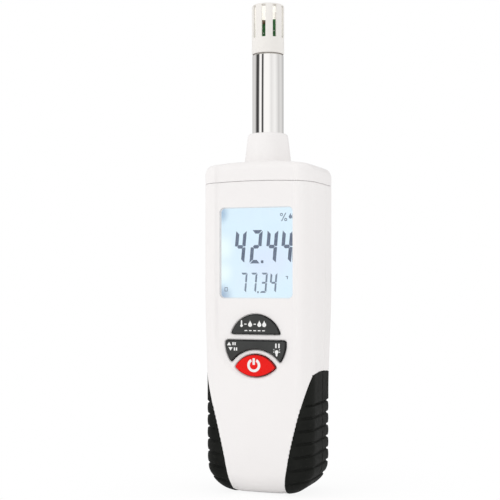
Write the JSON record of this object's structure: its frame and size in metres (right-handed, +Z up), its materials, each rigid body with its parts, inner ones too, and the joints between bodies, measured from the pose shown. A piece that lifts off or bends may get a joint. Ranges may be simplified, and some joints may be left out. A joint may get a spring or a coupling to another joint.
{
  "type": "thermo-hygrometer",
  "caption": "Slim handheld air temperature and humidity meter with a lit display, keys, rubber grips and a chrome probe tube under a slotted guard.",
  "frame": {"origin": "on the flat base, under the axis of the probe tube", "axes": "+Z up along the probe tube, -Y out of the display side, +X to the right of a reader who faces the display"},
  "size_m": [0.0544, 0.0362, 0.225],
  "materials": {
    "backlight": "clear",
    "battery_jacket": "printed",
    "bead": "gloss",
    "board": "satin",
    "cable": "matt",
    "capacitor": "sleeved",
    "chip": "matt",
    "chrome": "polished",
    "display": "clear",
    "foam": "matt",
    "grip_rubber": "matt",
    "inner_plastic": "matt",
    "key_plastic": "matt",
    "lead_black": "matt",
    "lead_red": "matt",
    "mat_rubber": "matt",
    "power_plastic": "gloss",
    "seal": "matt",
    "sensor": "matt",
    "snap_vinyl": "matt",
    "steel": "brushed",
    "strip_rubber": "matt",
    "white_plastic": "satin",
    "window_clear": "clear"
  },
  "bodies": {
    "case": {"front_housing": "white_plastic", "rear_housing": "white_plastic", "top_cap": "white_plastic", "grip_left": "grip_rubber", "grip_right": "grip_rubber", "display_window": "window_clear", "window_gasket": "foam", "display_glass": "display", "display_frame": "inner_plastic", "backlight_panel": "backlight", "backlight_lamps": "backlight", "contact_strips": "strip_rubber", "main_board": "board", "meter_chip": "chip", "quartz_crystal": "steel", "capacitors": "capacitor", "board_screws": "steel", "keypad_mat": "mat_rubber", "sensor_socket": "inner_plastic", "sensor_plug": "inner_plastic", "sensor_cable": "cable", "probe_tube": "chrome", "neck_seal": "seal", "tube_retainer": "steel", "retainer_screws": "steel", "sensor_holder": "inner_plastic", "sensor_board": "board", "humidity_sensor": "sensor", "temperature_bead": "bead", "battery": "battery_jacket", "battery_snap": "snap_vinyl", "lead_red": "lead_red", "lead_black": "lead_black", "lead_header": "inner_plastic", "housing_screws": "steel"},
    "door": {"battery_door": "white_plastic", "door_pad": "foam"},
    "guard": {"sensor_guard": "white_plastic"},
    "upper_key": {"units_key": "key_plastic"},
    "rocker": {"rocker_key": "key_plastic"},
    "power": {"power_key": "power_plastic"}
  },
  "joints": [
    {"name": "guard_pull", "type": "slide", "parent": "case", "child": "guard", "axis": [0, 0, 1], "range_m": [0, 0.03]},
    {"name": "door_slide", "type": "slide", "parent": "case", "child": "door", "axis": [0, 0, -1], "range_m": [0, 0.007]},
    {"name": "upper_key_press", "type": "slide", "parent": "case", "child": "upper_key", "axis": [0, 1, 0], "range_m": [0, 0.0008], "stiffness_N_per_m": 600, "springref_m": -0.0003},
    {"name": "rocker_rock", "type": "hinge", "parent": "case", "child": "rocker", "pos_m": [0, -0.0132, 0.067], "axis": [0, 0, 1], "range_deg": [-2.5, 2.5], "stiffness_Nm_per_rad": 0.2},
    {"name": "power_key_press", "type": "slide", "parent": "case", "child": "power", "axis": [0, 1, 0], "range_m": [0, 0.0008], "stiffness_N_per_m": 600, "springref_m": -0.0003}
  ]
}
